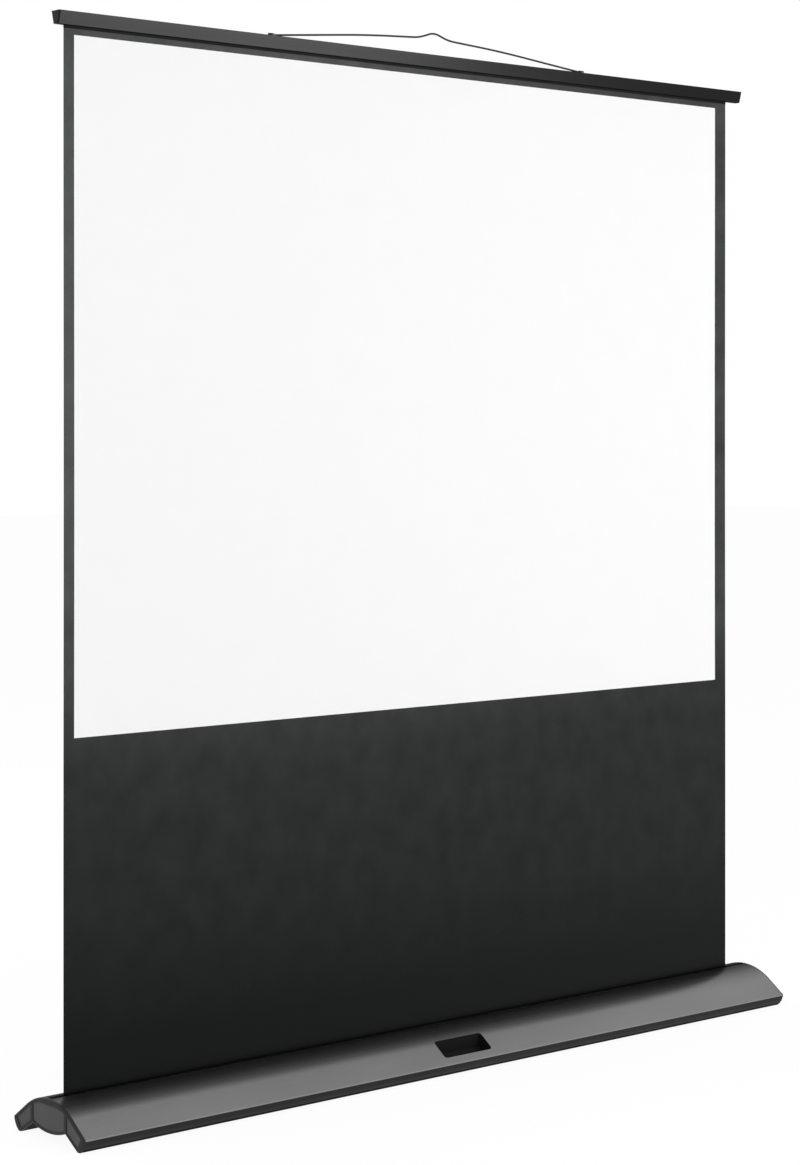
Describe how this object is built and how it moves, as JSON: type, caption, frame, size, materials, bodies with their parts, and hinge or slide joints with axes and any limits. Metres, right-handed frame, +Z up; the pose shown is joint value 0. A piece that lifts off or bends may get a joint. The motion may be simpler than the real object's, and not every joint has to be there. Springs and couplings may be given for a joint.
{
  "type": "projection screen",
  "caption": "Floor-standing pull-up projection screen: winged aluminium cassette with a spring roller, black-masked white fabric, tapered top bar, wire hanging bail and telescopic rear mast",
  "frame": {"origin": "on the floor under the middle of the cassette", "axes": "+X to the viewer's right along the screen, +Y to the back, +Z up; the fabric hangs in the plane Y = 0 and its white side faces -Y"},
  "size_m": [1.964, 0.2432, 2.2074],
  "materials": {
    "grey_aluminium": "satin anodised grey",
    "bar_aluminium": "satin dark grey",
    "silver_aluminium": "satin silver",
    "cap_plastic": "fine moulded grain, dark grey",
    "strip_plastic": "smooth matt, dark grey",
    "black_plastic": "matt black",
    "bush_plastic": "natural nylon",
    "zinc_steel": "bright zinc plated",
    "spring_steel": "oiled spring steel",
    "wire_steel": "dark plated wire",
    "screw_black": "black oxide",
    "white_cloth": "matt white coated cloth",
    "black_cloth": "matt black coated cloth"
  },
  "bodies": {
    "base": {"wing_extrusion": "grey_aluminium", "left_end_cap": "cap_plastic", "right_end_cap": "cap_plastic", "front_edge_strip": "strip_plastic", "rear_edge_strip": "strip_plastic", "front_slot_lip": "strip_plastic", "rear_slot_lip": "strip_plastic", "grip_tub": "black_plastic", "end_cap_screws": "screw_black", "left_roller_bracket": "zinc_steel", "right_roller_bracket": "zinc_steel", "idler_pin": "zinc_steel", "spring_shaft": "zinc_steel", "torsion_spring": "spring_steel", "mast_socket": "black_plastic", "mast_socket_screws": "zinc_steel", "mast_lower_tube": "silver_aluminium", "mast_foot_plug": "black_plastic"},
    "roller": {"roller_tube": "silver_aluminium", "idler_plug": "black_plastic", "spring_plug": "black_plastic", "idler_bush": "bush_plastic", "spring_bush": "bush_plastic", "wound_fabric": "black_cloth"},
    "lower_lock": {"lower_lock_collar": "black_plastic"},
    "mast_middle": {"mast_middle_tube": "silver_aluminium", "middle_guide": "black_plastic"},
    "upper_lock": {"upper_lock_collar": "black_plastic"},
    "mast_upper": {"mast_upper_tube": "silver_aluminium", "upper_guide": "black_plastic", "mast_head": "black_plastic"},
    "top_bar": {"top_bar": "bar_aluminium", "left_bar_cap": "black_plastic", "right_bar_cap": "black_plastic", "keder_strip": "black_plastic", "white_panel": "white_cloth", "black_masking": "black_cloth", "left_bail_lug": "wire_steel", "right_bail_lug": "wire_steel", "bail_lug_rivets": "zinc_steel", "mast_catch": "black_plastic", "mast_catch_rivets": "zinc_steel"},
    "bail": {"wire_bail": "wire_steel", "bail_end_stops": "black_plastic"}
  },
  "joints": [
    {"name": "screen_rise", "type": "slide", "parent": "base", "child": "top_bar", "axis": [0, 0, 1], "range_m": [-1.23, 0], "deforming": ["white_panel", "black_masking"]},
    {"name": "roller_spin", "type": "hinge", "parent": "base", "child": "roller", "pos_m": [0, -0.01855, 0.046], "axis": [1, 0, 0], "range_deg": [-3460, 0]},
    {"name": "mast_middle_slide", "type": "slide", "parent": "base", "child": "mast_middle", "axis": [0, 0, 1], "range_m": [-0.616, 0]},
    {"name": "mast_upper_slide", "type": "slide", "parent": "mast_middle", "child": "mast_upper", "axis": [0, 0, 1], "range_m": [-0.616, 0]},
    {"name": "lower_lock_twist", "type": "hinge", "parent": "base", "child": "lower_lock", "pos_m": [0, 0.032, 0.779], "axis": [0, 0, 1], "range_deg": [-90, 0]},
    {"name": "upper_lock_twist", "type": "hinge", "parent": "mast_middle", "child": "upper_lock", "pos_m": [0, 0.032, 1.447], "axis": [0, 0, 1], "range_deg": [-90, 0]},
    {"name": "bail_swing", "type": "hinge", "parent": "top_bar", "child": "bail", "pos_m": [-0.005, 0, 2.1618], "axis": [1, 0, 0], "range_deg": [-90, 90]}
  ],
  "couplings": [
    {"joint": "roller_spin", "follows": "screen_rise", "rad_per_m": 49},
    {"joint": "mast_middle_slide", "follows": "screen_rise", "ratio": 0.5},
    {"joint": "mast_upper_slide", "follows": "screen_rise", "ratio": 0.5}
  ]
}
